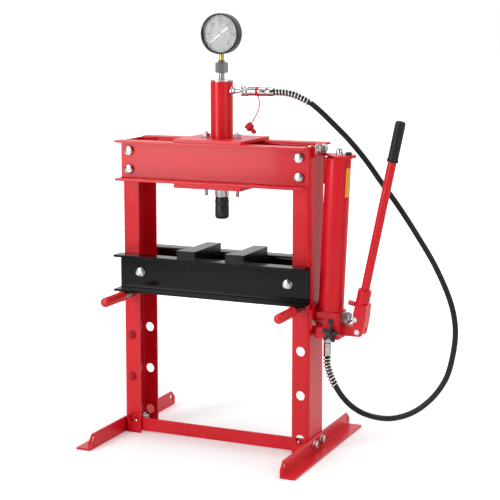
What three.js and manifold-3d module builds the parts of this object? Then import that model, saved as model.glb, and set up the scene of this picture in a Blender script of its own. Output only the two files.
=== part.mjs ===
// Hydraulic shop press: bolted H frame, hand pump on the right post, height-adjustable bed.
// Millimetres, +Z up. The press is laid out round the ram: the ram's axis is X = 0, Y = 0,
// the front is -Y and the floor is Z = 0. At the end the group is moved so that the middle
// of its footprint is the origin.

import * as THREE from 'three';
import { mergeVertices } from 'three/addons/utils/BufferGeometryUtils.js';
import Module from 'manifold-3d';

const wasm = await Module();
wasm.setup();

// ---------------------------------------------------------------- driving dimensions

const gap = 0.3; // clearance between pieces that touch

const postSpan = 500; // over the outer faces of the two posts
const postDepth = 98;
const postFlange = 43;
const postWall = 5;
const postHeight = 746;

const beamBottom = 648;
const beamHeight = 100;
const beamFlange = 41;
const beamWall = 6;
const beamLength = 500;

const bedHeight = 92;
const bedFlange = 44;
const bedWall = 6;
const bedLength = 508;
const bedSlide = 1.5; // clearance between bed and posts

const pinHoleRadius = 11.8;
const pinRadius = 10;
const firstPinHole = 37;
const pinPitch = 108.6;
const pinLevels = 4;
const pinInset = 22; // from the post's outer face
const gripRadius = 12;

const footLength = 458;
const footLeg = 38;
const footWall = 5;

const mountPlateWidth = 180;
const mountPlateDepth = 172;
const upperPlate = 8;
const lowerPlate = 10;

const ramRadius = 27.5;
const ramBore = 22.6;
const ramBottom = 632;
const ramTop = 893;
const rodRadius = 17.4;
const rodEnd = 611.7;
const headBottom = 557;
const portHeight = 871;

const gaugeHeight = 1008.5;
const gaugeRadius = 49;
const gaugeFront = -13;
const gaugeBack = 14;

const hoseRadius = 6.75;

const reservoirRadius = 30.5;
const reservoirFoot = new THREE.Vector3(287.5, 0, 352);
const reservoirHead = new THREE.Vector3(304, 0, 720);

const plungerHeight = 337;
const fulcrum = new THREE.Vector3(360, 0, 307.2);
const drivePin = new THREE.Vector3(354, 0, plungerHeight);
const handleFoot = new THREE.Vector3(372.6, 0, 403.5);
const handleDirection = new THREE.Vector3(0.2063, 0, 1).normalize();

// ---------------------------------------------------------------- materials

const paint = (color, roughness, metalness) =>
  new THREE.MeshStandardMaterial({ color, roughness, metalness });
const redPaint = paint(0xb80f16, 0.3, 0.1);
const blackPaint = paint(0x17181a, 0.35, 0.1);
const zinc = paint(0xc4c8cc, 0.35, 0.9);
const chrome = paint(0xdfe2e5, 0.15, 1);
const brass = paint(0xb8923f, 0.3, 1);
const castIron = paint(0x303133, 0.6, 0.4);
const blackSteel = paint(0x26272a, 0.5, 0.7);
const blackPlastic = paint(0x1b1b1d, 0.5, 0);
const redPlastic = paint(0xd0161b, 0.45, 0);
const rubber = paint(0x1f2022, 0.7, 0);
const dialWhite = paint(0xe4e6e6, 0.6, 0);

// ---------------------------------------------------------------- shape helpers

const X = new THREE.Vector3(1, 0, 0);
const Y = new THREE.Vector3(0, 1, 0);
const Z = new THREE.Vector3(0, 0, 1);
const point = (x, y, z) => new THREE.Vector3(x, y, z);
const along = (start, direction, distance) => start.clone().addScaledVector(direction, distance);

function solid(geometry) {
  const bare = geometry.clone();
  bare.deleteAttribute('normal');
  bare.deleteAttribute('uv');
  const merged = mergeVertices(bare, 1e-4);
  return new wasm.Manifold(new wasm.Mesh({
    numProp: 3,
    vertProperties: merged.attributes.position.array,
    triVerts: Uint32Array.from(merged.index.array),
  }));
}

function surface(manifold) {
  const mesh = manifold.getMesh();
  const geometry = new THREE.BufferGeometry();
  geometry.setAttribute('position', new THREE.BufferAttribute(mesh.vertProperties, 3));
  geometry.setIndex(new THREE.BufferAttribute(mesh.triVerts, 1));
  geometry.computeVertexNormals();
  return geometry;
}

function join(...geometries) {
  return surface(geometries.map(solid).reduce((sum, next) => sum.add(next)));
}

function cut(geometry, ...tools) {
  return surface(tools.map(solid).reduce((rest, tool) => rest.subtract(tool), solid(geometry)));
}

function common(first, second) {
  return surface(solid(first).intersect(solid(second)));
}

function box(x0, x1, y0, y1, z0, z1) {
  const geometry = new THREE.BoxGeometry(x1 - x0, y1 - y0, z1 - z0);
  return geometry.translate((x0 + x1) / 2, (y0 + y1) / 2, (z0 + z1) / 2);
}

// A round bar, or with six sides a hexagon, from one point to another.
function bar(from, to, radius, sides = 16) {
  const direction = to.clone().sub(from);
  const geometry = new THREE.CylinderGeometry(radius, radius, direction.length(), sides);
  const turn = new THREE.Quaternion().setFromUnitVectors(Y, direction.normalize());
  geometry.applyQuaternion(turn);
  const middle = from.clone().add(to).multiplyScalar(0.5);
  return geometry.translate(middle.x, middle.y, middle.z);
}

const hexagon = (from, to, acrossFlats) => bar(from, to, acrossFlats / Math.sqrt(3), 6);

// A turned piece: profile is a list of [radius, distance along the axis from base].
function turned(profile, base, axis, sides = 24) {
  const outline = profile.map(([radius, distance]) => new THREE.Vector2(radius, distance));
  const geometry = new THREE.LatheGeometry(outline, sides);
  geometry.applyQuaternion(new THREE.Quaternion().setFromUnitVectors(Y, axis));
  return geometry.translate(base.x, base.y, base.z);
}

// A flat outline in the plane of u and v, extruded along u x v.
function extruded(shape, depth, origin, u, v, curveSegments = 2) {
  const geometry = new THREE.ExtrudeGeometry(shape, { depth, bevelEnabled: false, curveSegments });
  const matrix = new THREE.Matrix4().makeBasis(u, v, u.clone().cross(v));
  return geometry.applyMatrix4(matrix.setPosition(origin));
}

// The section of a bent channel: u is the flanges' direction, v runs along the web.
function channelSection(web, flange, wall) {
  const outer = wall + 2;
  const inner = 2;
  const half = web / 2;
  const shape = new THREE.Shape();
  shape.moveTo(flange, -half);
  shape.lineTo(flange, -half + wall);
  shape.lineTo(wall + inner, -half + wall);
  shape.absarc(wall + inner, -half + wall + inner, inner, -Math.PI / 2, -Math.PI, true);
  shape.lineTo(wall, half - wall - inner);
  shape.absarc(wall + inner, half - wall - inner, inner, Math.PI, Math.PI / 2, true);
  shape.lineTo(flange, half - wall);
  shape.lineTo(flange, half);
  shape.lineTo(outer, half);
  shape.absarc(outer, half - outer, outer, Math.PI / 2, Math.PI, false);
  shape.lineTo(0, -half + outer);
  shape.absarc(outer, -half + outer, outer, Math.PI, Math.PI * 1.5, false);
  return shape;
}

function roundedRectangle(u0, u1, v0, v1, radius) {
  const shape = new THREE.Shape();
  shape.moveTo(u0 + radius, v0);
  shape.absarc(u1 - radius, v0 + radius, radius, -Math.PI / 2, 0, false);
  shape.absarc(u1 - radius, v1 - radius, radius, 0, Math.PI / 2, false);
  shape.absarc(u0 + radius, v1 - radius, radius, Math.PI / 2, Math.PI, false);
  shape.absarc(u0 + radius, v0 + radius, radius, Math.PI, Math.PI * 1.5, false);
  return shape;
}

function outline(points) {
  return new THREE.Shape(points.map(([u, v]) => new THREE.Vector2(u, v)));
}

// A bolt with its nut: the head rests on the face at start, the grip is what it clamps.
function boltAndNut(start, direction, grip, size) {
  const headTop = along(start, direction, -gap - size.head);
  const headFoot = along(start, direction, -gap);
  const nutFoot = along(start, direction, grip + gap);
  const nutTop = along(nutFoot, direction, size.nut);
  return join(
    hexagon(headTop, headFoot, size.flats),
    bar(along(headFoot, direction, -1), along(nutTop, direction, size.tail), size.radius, 10),
    hexagon(nutFoot, nutTop, size.flats),
  );
}

const hole = (start, direction, length, radius) =>
  bar(along(start, direction, -1), along(start, direction, length + 1), radius + gap, 12);

const press = new THREE.Group();

function piece(name, geometry, material) {
  const mesh = new THREE.Mesh(geometry, material);
  mesh.name = name;
  press.add(mesh);
}

const sides = [['left', -1], ['right', 1]];
const ends = [['front', -1], ['rear', 1]];
const inward = (sign) => point(-sign, 0, 0);

// ---------------------------------------------------------------- bolt sizes and places

const beamBolt = { radius: 7, flats: 21, head: 9, nut: 11, tail: 4 };
const bedBolt = { radius: 6, flats: 19, head: 8, nut: 10, tail: 4 };
const footBolt = { radius: 6, flats: 19, head: 8, nut: 10, tail: 13 };
const bracketBolt = { radius: 6, flats: 20, head: 9, nut: 8, tail: 1 };
const lugBolt = { radius: 4, flats: 13, head: 6, nut: 6, tail: 2 };

const postFace = postSpan / 2;
const postFront = postDepth / 2;
const beamTop = beamBottom + beamHeight;

const beamBoltX = 227;
const beamBoltRise = 23; // above and below the beam's centre line
const footBoltY = 24;
const footBoltZ = 21.5;
const bracketBoltY = 22;
const bracketBoltZ = 738;
const lugBoltY = 34;
const lugBoltZ = 326;
const lugThickness = 6;
const bracketWall = 6;

const pinHeights = Array.from({ length: pinLevels }, (_, i) => firstPinHole + pinPitch * i);
const beamBoltHeights = [-beamBoltRise, beamBoltRise].map((rise) => beamBottom + beamHeight / 2 + rise);

// ---------------------------------------------------------------- posts, beams and feet

for (const [side, sign] of sides) {
  const channel = extruded(
    channelSection(postDepth, postFlange, postWall), postHeight,
    point(sign * postFace, 0, 0), inward(sign), point(0, -sign, 0),
  );
  const tools = [];
  for (const z of pinHeights) {
    const start = point(sign * (postFace - pinInset), -postFront, z);
    tools.push(bar(along(start, Y, -1), along(start, Y, postDepth + 1), pinHoleRadius, 18));
  }
  for (const z of beamBoltHeights) {
    tools.push(hole(point(sign * beamBoltX, -postFront, z), Y, postDepth, beamBolt.radius));
  }
  for (const y of [-footBoltY, footBoltY]) {
    tools.push(hole(point(sign * postFace, y, footBoltZ), inward(sign), postWall, footBolt.radius));
  }
  if (side === 'right') {
    for (const y of [-bracketBoltY, bracketBoltY]) {
      tools.push(hole(point(postFace, y, bracketBoltZ), inward(1), postWall, bracketBolt.radius));
    }
    for (const y of [-lugBoltY, lugBoltY]) {
      tools.push(hole(point(postFace, y, lugBoltZ), inward(1), postWall, lugBolt.radius));
    }
  }
  piece(`${side}_post`, cut(channel, ...tools), redPaint);
}

for (const [end, sign] of ends) {
  const channel = extruded(
    channelSection(beamHeight, beamFlange, beamWall), beamLength,
    point(-sign * beamLength / 2, sign * (postFront + gap), beamBottom + beamHeight / 2),
    point(0, sign, 0), Z,
  );
  const tools = [];
  for (const x of [-beamBoltX, beamBoltX]) {
    for (const z of beamBoltHeights) {
      tools.push(hole(point(x, sign * postFront, z), point(0, sign, 0), beamWall + gap, beamBolt.radius));
    }
  }
  piece(`${end}_head_beam`, cut(channel, ...tools), redPaint);
}

for (const [side, sign] of sides) {
  for (const [level, z] of [['lower', beamBoltHeights[0]], ['upper', beamBoltHeights[1]]]) {
    const reach = postFront + gap + beamWall;
    const start = point(sign * beamBoltX, -reach, z);
    piece(`head_bolt_${side}_${level}`, boltAndNut(start, Y, 2 * reach, beamBolt), zinc);
  }
}

const footHoleY = 208;
const footHoleZ = 24;
const footChamfer = 18;
const half = footLength / 2;

for (const [side, sign] of sides) {
  const outer = sign * (postFace + gap);
  const section = outline([
    [0, 0], [footLeg, 0], [footLeg, footWall], [footWall, footWall], [footWall, footLeg], [0, footLeg],
  ]);
  const start = point(outer, sign * half, 0);
  const angle = extruded(section, footLength, start, point(sign, 0, 0), Z);
  const tools = [];
  for (const y of [-footHoleY, footHoleY]) {
    tools.push(bar(point(outer - sign, y, footHoleZ), point(outer + sign * (footWall + 1), y, footHoleZ), 7));
  }
  for (const y of [-footBoltY, footBoltY]) {
    tools.push(hole(point(outer, y, footBoltZ), point(sign, 0, 0), footWall, footBolt.radius));
  }
  for (const end of [-1, 1]) {
    const corner = outline([
      [end * half, footLeg - footChamfer], [end * half, footLeg + 1],
      [end * (half - footChamfer - 1), footLeg + 1],
    ]);
    tools.push(extruded(corner, footLeg + 2, point(Math.min(outer, outer + sign * footLeg) - 1, 0, 0), Y, Z));
  }
  piece(`${side}_foot`, cut(angle, ...tools), redPaint);
}

const braceWall = 5;
const braceFront = -41.6;
const braceLow = 5;
const braceHigh = 38;
const braceTab = 34; // depth of the bent end that lies against the post's web
const braceHalf = postFace - postWall - gap;

const bent = outline([
  [-braceHalf, braceFront], [braceHalf, braceFront], [braceHalf, braceFront + braceTab],
  [braceHalf - braceWall, braceFront + braceTab], [braceHalf - braceWall, braceFront + braceWall],
  [-braceHalf + braceWall, braceFront + braceWall], [-braceHalf + braceWall, braceFront + braceTab],
  [-braceHalf, braceFront + braceTab],
]);
piece('lower_brace', cut(
  extruded(bent, braceHigh - braceLow, point(0, 0, braceLow), X, Y),
  ...sides.map(([, sign]) =>
    hole(point(sign * braceHalf, -footBoltY, footBoltZ), inward(sign), braceWall, footBolt.radius)),
), redPaint);

for (const [side, sign] of sides) {
  for (const [end, way] of ends) {
    const start = point(sign * (postFace + gap + footWall), way * footBoltY, footBoltZ);
    const tab = way < 0 ? gap + braceWall : 0;
    const grip = footWall + gap + postWall + tab;
    piece(`foot_bolt_${side}_${end}`, boltAndNut(start, inward(sign), grip, footBolt), zinc);
  }
}

// ---------------------------------------------------------------- plates that hold the ram

const studX = 42;
const stud = { radius: 5, flats: 17, nut: 8.5, bottom: 612, top: 771 };

for (const [name, z, thickness] of [
  ['upper_mount_plate', beamTop + gap, upperPlate],
  ['lower_mount_plate', beamBottom - gap - lowerPlate, lowerPlate],
]) {
  const plan = roundedRectangle(
    -mountPlateWidth / 2, mountPlateWidth / 2, -mountPlateDepth / 2, mountPlateDepth / 2, 2,
  );
  const plate = extruded(plan, thickness, point(0, 0, z), X, Y);
  const tools = [bar(point(0, 0, z - 1), point(0, 0, z + thickness + 1), ramRadius + gap, 32)];
  for (const x of [-studX, studX]) tools.push(hole(point(x, 0, z), Z, thickness, stud.radius));
  piece(name, cut(plate, ...tools), redPaint);
}

for (const [side, sign] of sides) {
  const x = sign * studX;
  const upperFace = beamTop + 2 * gap + upperPlate;
  const lowerFace = beamBottom - 2 * gap - lowerPlate;
  piece(`plate_stud_${side}`, join(
    bar(point(x, 0, stud.bottom), point(x, 0, stud.top), stud.radius, 16),
    hexagon(point(x, 0, upperFace), point(x, 0, upperFace + stud.nut), stud.flats),
    hexagon(point(x, 0, lowerFace - stud.nut), point(x, 0, lowerFace), stud.flats),
  ), zinc);
}

// ---------------------------------------------------------------- ram

const origin = point(0, 0, 0);
const glandTop = ramBottom + 20;
const nippleRadius = 8;
const tube = turned([
  [rodRadius + gap, ramBottom], [ramRadius, ramBottom], [ramRadius, ramTop], [ramBore, ramTop],
  [ramBore, glandTop], [rodRadius + gap, glandTop], [rodRadius + gap, ramBottom],
], origin, Z, 32);
const portInside = point(ramBore - 5, 0, portHeight);
const port = bar(portInside, point(ramRadius + 5, 0, portHeight), nippleRadius + gap, 16);
piece('ram_cylinder', cut(tube, port), redPaint);

const pistonBottom = 838;
const pistonTop = 862;
piece('piston_rod', turned([
  [0, rodEnd], [rodRadius, rodEnd], [rodRadius, pistonBottom], [ramBore - gap, pistonBottom],
  [ramBore - gap, pistonTop], [0, pistonTop],
], origin, Z, 24), chrome);

piece('return_spring', turned([
  [rodRadius + 0.8, glandTop + gap], [ramBore - 0.8, glandTop + gap], [ramBore - 0.8, pistonBottom - gap],
  [rodRadius + 0.8, pistonBottom - gap], [rodRadius + 0.8, glandTop + gap],
], origin, Z, 24), blackSteel);

piece('pressing_head', turned([
  [0, headBottom], [14.5, headBottom], [17.2, headBottom + 3], [17.2, rodEnd - 6],
  [15.8, rodEnd - 5], [15.8, rodEnd - gap], [0, rodEnd - gap],
], origin, Z, 24), blackSteel);

const capTop = ramTop + gap + 4.5;
piece('cylinder_cap', turned([
  [6 + gap, ramTop + gap], [ramRadius, ramTop + gap], [ramRadius, capTop - 1], [ramRadius - 1, capTop],
  [6 + gap, capTop], [6 + gap, ramTop + gap],
], origin, Z, 24), zinc);

// ---------------------------------------------------------------- gauge

const adapterNut = 914;
const adapterTop = 940;
const adapterFlats = 28;
piece('gauge_adapter', join(
  turned([
    [0, ramTop + gap], [6, ramTop + gap], [6, capTop + gap], [7.2, capTop + gap],
    [7.2, adapterNut + 1], [0, adapterNut + 1],
  ], origin, Z, 20),
  hexagon(point(0, 0, adapterNut), point(0, 0, adapterTop), adapterFlats),
), chrome);

const socketRadius = 6;
piece('gauge_socket', join(
  bar(point(0, 0, adapterTop + gap), point(0, 0, gaugeHeight - 45.9), socketRadius, 16),
  hexagon(point(0, 0, adapterTop + gap), point(0, 0, adapterTop + 5), 15),
), brass);

const gaugeCentre = point(0, 0, gaugeHeight);
const caseBore = gaugeRadius - 3.4;
piece('gauge_case', cut(
  turned([
    [0, gaugeBack - 3], [caseBore, gaugeBack - 3], [caseBore, gaugeFront], [gaugeRadius - 1, gaugeFront],
    [gaugeRadius, gaugeFront + 1], [gaugeRadius, gaugeBack - 2], [gaugeRadius - 2, gaugeBack], [0, gaugeBack],
  ], gaugeCentre, Y, 36),
  bar(point(0, 0, gaugeHeight - 60), point(0, 0, gaugeHeight - 43), socketRadius + gap, 16),
), blackPaint);

const dialFace = -5;
piece('gauge_dial', bar(
  point(0, dialFace, gaugeHeight), point(0, dialFace + 1.4, gaugeHeight), caseBore - gap, 30,
), dialWhite);

const needleAngle = THREE.MathUtils.degToRad(218);
const needleWay = point(Math.cos(needleAngle), 0, Math.sin(needleAngle));
const needleAcross = point(-Math.sin(needleAngle), 0, Math.cos(needleAngle));
piece('gauge_needle', join(
  bar(point(0, dialFace - 3.4, gaugeHeight), point(0, dialFace - gap, gaugeHeight), 3.4, 20),
  extruded(outline([[-24, -1.9], [34, -0.6], [34, 0.6], [-24, 1.9]]), 1,
    point(0, dialFace - 1.6, gaugeHeight), needleWay, needleAcross),
), dialWhite);

// ---------------------------------------------------------------- hose coupler on the ram

const couplerFrom = point(0, 0, portHeight);
const nutStart = 51.3;
const nutEnd = 72;
const ferruleEnd = 137.7;
const ringStart = 93;
const ringEnd = 99;
piece('coupler_nipple', turned([
  [0, ramBore + 1], [nippleRadius, ramBore + 1], [nippleRadius, 36],
  [5, 37.5], [5, nutEnd - gap], [0, nutEnd - gap],
], couplerFrom, X, 16), zinc);

piece('coupler_nut', turned([
  [5 + gap, nutStart], [11, nutStart], [12.2, nutStart + 1.5], [12.2, nutEnd - 1.5], [11, nutEnd],
  [5 + gap, nutEnd], [5 + gap, nutStart],
], couplerFrom, X, 20), zinc);

const grooveRadius = 8.5;
piece('hose_fitting', turned([
  [0, nutEnd + gap], [11, nutEnd + gap], [11, ringStart - gap], [grooveRadius, ringStart - gap],
  [grooveRadius, ringEnd + gap], [10.9, ringEnd + gap], [10.9, ferruleEnd], [0, ferruleEnd],
], couplerFrom, X, 20), zinc);

// Moulded in one piece: the ring round the fitting, the strap and the cap on its end.
const strapRoute = new THREE.CatmullRomCurve3([
  point(96.2, 0, 860.6), point(99.4, 0, 850), point(100.5, 0, 840), point(98, 0, 828), point(92.5, 0, 816),
  point(86, 0, 805), point(79.5, 0, 793), point(75, 0, 787),
], false, 'centripetal');
const strapSection = new THREE.Shape().absarc(0, 0, 1.4, 0, 2 * Math.PI, false);
const capWay = point(1, 0, -1).normalize();
const capStart = point(68, 0, 791);
piece('dust_cap', join(
  turned([
    [grooveRadius + gap, ringStart], [11.3, ringStart], [11.3, ringEnd], [grooveRadius + gap, ringEnd],
    [grooveRadius + gap, ringStart],
  ], couplerFrom, X, 24),
  new THREE.ExtrudeGeometry(strapSection, { steps: 10, curveSegments: 3, extrudePath: strapRoute }),
  turned([
    [0, 0], [9, 0], [10, 1.5], [10, 14], [8, 16], [5, 16], [5, 28], [4, 29.5], [0, 29.5],
  ], capStart, capWay, 18),
), redPlastic);

// ---------------------------------------------------------------- pressure hose

const lowerPort = point(279, 0, 286.7);
const lowerFerruleEnd = 240;
const hoseRoute = [
  point(ferruleEnd + gap, 0, portHeight), point(148, 0, portHeight),
  point(162, 0, 870.6), point(185, 0, 867.5), point(208, 1, 859),
  point(232, 3, 846), point(257, 6, 826), point(290, 13, 794), point(325, 21, 758), point(362, 31, 712),
  point(397, 39, 662), point(441, 46, 602), point(483, 50, 540), point(529, 52, 467), point(565, 52, 391),
  point(578, 50, 345), point(581, 49, 297), point(566, 46, 213), point(546, 43, 173), point(521, 40, 142),
  point(490, 37, 116), point(458, 33, 100), point(424, 29, 92), point(389, 24, 94), point(360, 18, 103),
  point(334, 12, 120), point(313, 7, 143), point(297, 3, 170), point(285, 1, 197), point(279, 0, 220),
  point(279, 0, 230), point(279, 0, lowerFerruleEnd - gap),
];
const hoseCurve = new THREE.CatmullRomCurve3(hoseRoute, false, 'centripetal');
const hoseSection = new THREE.Shape().absarc(0, 0, hoseRadius, 0, 2 * Math.PI, false);
piece('pressure_hose', new THREE.ExtrudeGeometry(
  hoseSection, { steps: 60, curveSegments: 4, extrudePath: hoseCurve },
), rubber);

piece('pump_hose_ferrule', turned([
  [0, lowerFerruleEnd], [9.6, lowerFerruleEnd], [9.6, lowerPort.z - gap],
  [6, lowerPort.z - gap], [6, 300], [0, 300],
], point(lowerPort.x, 0, 0), Z, 24), zinc);

// ---------------------------------------------------------------- bed

const pinZ = pinHeights[pinLevels - 1] - (pinHoleRadius - pinRadius - gap);
const bedBottom = pinZ + pinRadius + gap;
const bedTop = bedBottom + bedHeight;
const bedBoltX = 198;
const bedBoltZ = bedBottom + bedHeight / 2;
const bedFace = postFront + bedSlide;

for (const [end, sign] of ends) {
  const channel = extruded(
    channelSection(bedHeight, bedFlange, bedWall), bedLength,
    point(-sign * bedLength / 2, sign * bedFace, bedBoltZ), point(0, sign, 0), Z,
  );
  const tools = [-bedBoltX, bedBoltX].map((x) =>
    hole(point(x, sign * bedFace, bedBoltZ), point(0, sign, 0), bedWall, bedBolt.radius));
  piece(`bed_${end}_channel`, cut(channel, ...tools), blackPaint);
}

for (const [side, sign] of sides) {
  const start = point(sign * bedBoltX, -bedFace - bedWall, bedBoltZ);
  piece(`bed_bolt_${side}`, boltAndNut(start, Y, 2 * (bedFace + bedWall), bedBolt), zinc);
}

const gripEnd = -190;
const gripStart = -98;
const pinTip = 64;
for (const [side, sign] of sides) {
  const x = sign * (postFace - pinInset);
  piece(`support_pin_${side}`, join(
    bar(point(x, gripStart - 4, pinZ), point(x, pinTip, pinZ), pinRadius, 16),
    bar(point(x, gripEnd, pinZ), point(x, gripStart, pinZ), gripRadius, 16),
  ), zinc);
}

// Each plate is widest at its front end and steps in on its left side behind it.
const arborThickness = 23;
const arborFront = -102;
const arborBack = 48;
const arborWidth = 50;
const arborStep = 11;
for (const [side, left] of [['left', -75], ['right', 54]]) {
  const right = left + arborWidth;
  const plan = outline([
    [left, arborFront], [right, arborFront], [right, arborBack], [left + arborStep, arborBack],
    [left + arborStep, arborFront + 44], [left, arborFront + 18],
  ]);
  piece(`arbor_plate_${side}`, extruded(plan, arborThickness, point(0, 0, bedTop + gap), X, Y), castIron);
}

// ---------------------------------------------------------------- pump

const pumpBottom = 287;
const pumpTop = reservoirFoot.z - gap;
const knobX = 303;
const knobZ = 304.5;
const armHalf = 13.5;
const eyeRadius = 12;
const plungerRadius = 8;
const pivotRadius = 5.5;
const lugPlate = extruded(
  roundedRectangle(-46.5, 46.5, 308, 366, 9), lugThickness, point(postFace + gap, 0, 0), Y, Z, 3,
);
const block = extruded(
  roundedRectangle(255.5, 318, -31, 31, 9), pumpTop - pumpBottom, point(0, 0, pumpBottom), X, Y, 4,
);
const arm = join(
  box(300, fulcrum.x, -armHalf, armHalf, fulcrum.z - eyeRadius, fulcrum.z + eyeRadius),
  bar(point(fulcrum.x, -armHalf, fulcrum.z), point(fulcrum.x, armHalf, fulcrum.z), eyeRadius, 24),
);
piece('pump_base', cut(
  join(lugPlate, block, arm),
  bar(point(284, 0, plungerHeight), point(330, 0, plungerHeight), plungerRadius + gap, 20),
  bar(point(lowerPort.x, 0, 280), point(lowerPort.x, 0, 301), 6 + gap),
  bar(point(knobX, -40, knobZ), point(knobX, -18, knobZ), 4 + gap, 16),
  bar(point(fulcrum.x, -20, fulcrum.z), point(fulcrum.x, 20, fulcrum.z), pivotRadius + gap, 16),
  ...[-lugBoltY, lugBoltY].map((y) =>
    hole(point(postFace + gap, y, lugBoltZ), X, lugThickness, lugBolt.radius)),
  ...[-lugBoltY, lugBoltY].map((y) =>
    bar(point(postFace + gap + lugThickness, y, lugBoltZ), point(postFace + 30, y, lugBoltZ), 12, 20)),
), redPaint);

for (const [end, sign] of ends) {
  const lugStart = point(postFace + gap + lugThickness, sign * lugBoltY, lugBoltZ);
  const lugGrip = lugThickness + gap + postWall;
  piece(`pump_lug_bolt_${end}`, boltAndNut(lugStart, inward(1), lugGrip, lugBolt), zinc);
  const bracketStart = point(postFace + gap + bracketWall, sign * bracketBoltY, bracketBoltZ);
  piece(`pump_bracket_bolt_${end}`,
    boltAndNut(bracketStart, inward(1), bracketWall + gap + postWall, bracketBolt), zinc);
}

const reservoirWay = reservoirHead.clone().sub(reservoirFoot).normalize();
const pipe = cut(
  bar(along(reservoirFoot, reservoirWay, -10), along(reservoirHead, reservoirWay, 10), reservoirRadius, 28),
  bar(
    along(reservoirFoot, reservoirWay, -20), along(reservoirHead, reservoirWay, 20),
    reservoirRadius - 2.5, 28,
  ),
);
piece('reservoir', common(
  pipe, box(200, 400, -50, 50, reservoirFoot.z, reservoirHead.z),
), redPaint);

const bracketHalf = 38;
const ventX = 306;
const ventRadius = 6;
const bracketLow = reservoirHead.z + gap;
const bracketPlan = new THREE.Shape();
bracketPlan.moveTo(postFace + gap, -bracketHalf);
bracketPlan.absarc(308, 0, bracketHalf, -Math.PI / 2, Math.PI / 2, false);
bracketPlan.lineTo(postFace + gap, bracketHalf);
const upright = box(
  postFace + gap, postFace + gap + bracketWall, -bracketHalf, bracketHalf, bracketLow, beamTop,
);
piece('pump_top_bracket', cut(
  join(extruded(bracketPlan, bracketWall, point(0, 0, bracketLow), X, Y, 6), upright),
  ...[-bracketBoltY, bracketBoltY].map((y) =>
    hole(point(postFace + gap, y, bracketBoltZ), X, bracketWall, bracketBolt.radius)),
  bar(point(ventX, 0, bracketLow - 1), point(ventX, 0, bracketLow + bracketWall + 1), ventRadius + gap),
), redPaint);

const ventFoot = bracketLow + bracketWall + gap;
piece('vent_cap', turned([
  [0, ventFoot - 14], [ventRadius, ventFoot - 14], [ventRadius, ventFoot],
  [8.6, ventFoot], [8.6, ventFoot + 2],
  [7.7, ventFoot + 3], [7.7, ventFoot + 12], [6, ventFoot + 15.5], [3, ventFoot + 17.5], [0, ventFoot + 18],
], point(ventX, 0, 0), Z, 24), zinc);

const glandStart = 318 + gap;
piece('pump_gland', join(
  cut(hexagon(point(glandStart, 0, plungerHeight), point(335, 0, plungerHeight), 28),
    bar(point(310, 0, plungerHeight), point(350, 0, plungerHeight), plungerRadius + gap)),
  cut(bar(point(334, 0, plungerHeight), point(339.5, 0, plungerHeight), 12.5, 24),
    bar(point(310, 0, plungerHeight), point(350, 0, plungerHeight), plungerRadius + gap)),
), zinc);

// The eye is slotted upwards, because the drive pin swings on an arc.
const slotRise = 4;
piece('plunger', cut(
  join(
    bar(point(287, 0, plungerHeight), point(350, 0, plungerHeight), plungerRadius, 24),
    box(344, 366, -9, 9, plungerHeight - 12.5, plungerHeight + 12.5),
  ),
  bar(point(drivePin.x, -12, plungerHeight - slotRise), point(drivePin.x, 12, plungerHeight - slotRise), 6.4),
  bar(point(drivePin.x, -12, plungerHeight + 1), point(drivePin.x, 12, plungerHeight + 1), 6.4),
  box(drivePin.x - 6.4, drivePin.x + 6.4, -12, 12, plungerHeight - slotRise, plungerHeight + 1),
), chrome);

const lobes = 5;
const knobShape = new THREE.Shape();
for (let i = 0; i <= 40; i += 1) {
  const angle = (i / 40) * 2 * Math.PI;
  const radius = 15 + 7 * Math.cos(lobes * (angle - THREE.MathUtils.degToRad(10)));
  const place = [radius * Math.cos(angle), radius * Math.sin(angle)];
  if (i === 0) knobShape.moveTo(...place);
  else if (i < 40) knobShape.lineTo(...place);
}
const knobFace = -53;
piece('release_knob', join(
  extruded(knobShape, 12, point(knobX, knobFace + 12, knobZ), X, Z),
  bar(point(knobX, -42, knobZ), point(knobX, -33, knobZ), 8),
  bar(point(knobX, -34, knobZ), point(knobX, -20, knobZ), 4, 16),
), blackPlastic);

// ---------------------------------------------------------------- pump handle

const cheekInner = 14.3;
const cheekOuter = 18.3;
const socketOuter = 16.5;
const handleRadius = 10.5;
const handleAt = (z) => along(handleFoot, handleDirection, (z - handleFoot.z) / handleDirection.z);
const cheekPlan = outline([
  [349.5, 305], [352, 297.5], [368, 296.5], [372, 300.5], [376, 318],
  [381, 345], [383, 373], [356, 373], [349.5, 352],
]);
const cheeks = extruded(cheekPlan, 2 * cheekOuter, point(0, cheekOuter, 0), X, Z, 4);
const openSide = outline([
  [300, 280], [400, 280], [400, 314], [371.2, 314], [377, 345], [379, 374.5], [340, 374.5], [300, 340],
]);
const yokeBore = extruded(openSide, 2 * cheekInner, point(0, cheekInner, 0), X, Z, 4);
const screwAt = handleAt(368);
const screwWay = point(-handleDirection.z, 0, handleDirection.x);
piece('handle_socket', cut(
  join(
    cut(cheeks, yokeBore),
    cut(
      bar(handleAt(357), handleAt(408), socketOuter, 20),
      bar(handleAt(340), handleAt(420), handleRadius + gap, 20),
    ),
  ),
  ...[fulcrum, drivePin].map((pivot) =>
    bar(point(pivot.x, -25, pivot.z), point(pivot.x, 25, pivot.z), pivotRadius + gap, 16)),
  bar(along(screwAt, screwWay, 5), along(screwAt, screwWay, 25), 4 + gap, 16),
  bar(handleAt(350), handleAt(410), handleRadius + gap, 20),
), redPaint);

piece('fulcrum_pin', bar(
  point(fulcrum.x, -21, fulcrum.z), point(fulcrum.x, 21, fulcrum.z), pivotRadius, 14,
), zinc);
piece('drive_pin', bar(
  point(drivePin.x, -21, drivePin.z), point(drivePin.x, 21, drivePin.z), pivotRadius, 14,
), zinc);

piece('lock_screw', join(
  bar(along(screwAt, screwWay, handleRadius + gap), along(screwAt, screwWay, 19), 4, 16),
  bar(along(screwAt, screwWay, socketOuter + gap), along(screwAt, screwWay, 34), 5.6, 20),
), redPaint);

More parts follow.
